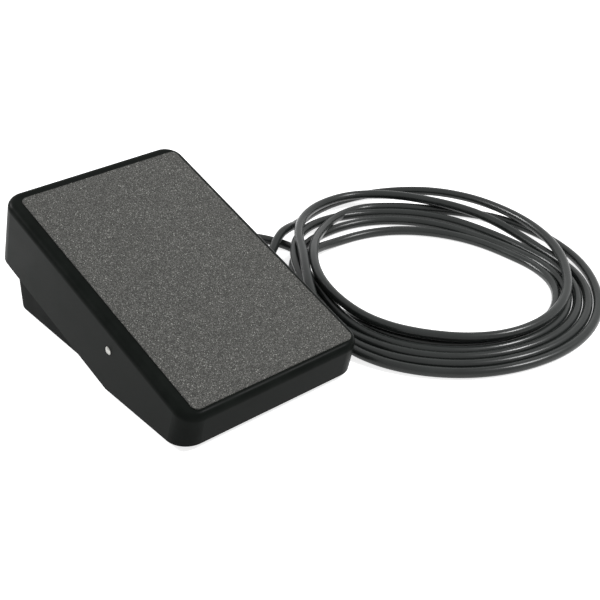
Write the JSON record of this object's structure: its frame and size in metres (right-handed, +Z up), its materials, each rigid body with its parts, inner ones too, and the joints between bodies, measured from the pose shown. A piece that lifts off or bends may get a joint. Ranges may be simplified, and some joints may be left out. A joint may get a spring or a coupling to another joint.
{
  "type": "welding foot pedal",
  "caption": "Black floor rocker pedal with a gritted tread, a pivot pin, a geared sensor drive and a long coiled cord with a round plug.",
  "frame": {"origin": "floor level under the middle of the pedal's outline, without its cord", "axes": "+Z up, +Y along the pedal from its low heel end to its high toe end, +X towards the side that the cord leaves"},
  "size_m": [0.415, 0.3174, 0.0986],
  "materials": {
    "cover_plastic": "moulded black, satin",
    "grit_sheet": "coarse mineral grit in black resin",
    "tray_plastic": "moulded black, fine texture",
    "foot_rubber": "matt",
    "pin_steel": "bright turned",
    "spring_steel": "bright drawn",
    "bush_nylon": "natural nylon",
    "gear_acetal": "natural acetal, satin",
    "screw_steel": "zinc plated",
    "sensor_shell": "satin",
    "bracket_steel": "zinc plated sheet",
    "switch_plastic": "moulded black",
    "plunger_plastic": "red acetal",
    "relief_rubber": "matt",
    "cord_jacket": "satin cable jacket",
    "clamp_plastic": "moulded nylon",
    "wire_insulation": "smooth insulation",
    "plug_plastic": "moulded black",
    "insert_plastic": "moulded dark grey",
    "ring_metal": "satin, fluted"
  },
  "bodies": {
    "base": {"base_tray": "tray_plastic", "rubber_feet": "foot_rubber", "bush_left": "bush_nylon", "bush_right": "bush_nylon", "potentiometer_body": "sensor_shell", "potentiometer_washer": "screw_steel", "potentiometer_nut": "screw_steel", "sensor_bracket": "bracket_steel", "bracket_screws": "screw_steel", "switch_body": "switch_plastic", "switch_screws": "screw_steel", "return_spring": "spring_steel", "heel_bumpers": "foot_rubber", "toe_bumpers": "foot_rubber", "strain_relief": "relief_rubber", "cord_jacket_end": "cord_jacket", "cord_clamp": "clamp_plastic", "clamp_screws": "screw_steel", "sensor_wires": "wire_insulation", "switch_wires": "wire_insulation", "cord_lead": "cord_jacket", "cord_coil": "cord_jacket", "cord_tail": "cord_jacket", "plug_cable_clamp": "plug_plastic", "plug_shell": "plug_plastic", "plug_insert": "insert_plastic"},
    "rocker": {"pedal_cover": "cover_plastic", "grip_pad": "grit_sheet", "pivot_pin": "pin_steel", "retaining_rings": "spring_steel", "drive_sector": "gear_acetal", "sector_screws": "screw_steel"},
    "sensor_rotor": {"drive_pinion": "gear_acetal", "pinion_set_screw": "screw_steel", "potentiometer_shaft": "pin_steel"},
    "switch_arm": {"switch_lever": "spring_steel"},
    "plunger": {"switch_plunger": "plunger_plastic"},
    "plug_ring": {"plug_coupling_ring": "ring_metal"}
  },
  "joints": [
    {"name": "pedal_tilt", "type": "hinge", "parent": "base", "child": "rocker", "pos_m": [0, -0.03328, 0.03924], "axis": [-1, 0, 0], "range_deg": [0, 15], "stiffness_Nm_per_rad": 1.5, "springref_deg": -34.38, "deforming": ["return_spring"]},
    {"name": "sensor_spin", "type": "hinge", "parent": "base", "child": "sensor_rotor", "pos_m": [0.027, 0.08344, 0.0474], "axis": [-1, 0, 0], "range_deg": [-240, 2]},
    {"name": "switch_arm_swing", "type": "hinge", "parent": "base", "child": "switch_arm", "pos_m": [-0.034, -0.0859, 0.0216], "axis": [1, 0, 0], "range_deg": [0, 8]},
    {"name": "plunger_slide", "type": "slide", "parent": "base", "child": "plunger", "axis": [0, 0, 1], "range_m": [0, 0.0009]},
    {"name": "plug_ring_turn", "type": "hinge", "parent": "base", "child": "plug_ring", "pos_m": [0.089, -0.05, 0.0095], "axis": [0, -1, 0], "continuous": true}
  ],
  "couplings": [
    {"joint": "sensor_spin", "follows": "pedal_tilt", "ratio": -15.714},
    {"joint": "switch_arm_swing", "follows": "pedal_tilt", "ratio": 0.4},
    {"joint": "plunger_slide", "follows": "pedal_tilt", "m_per_rad": 0.0031}
  ]
}
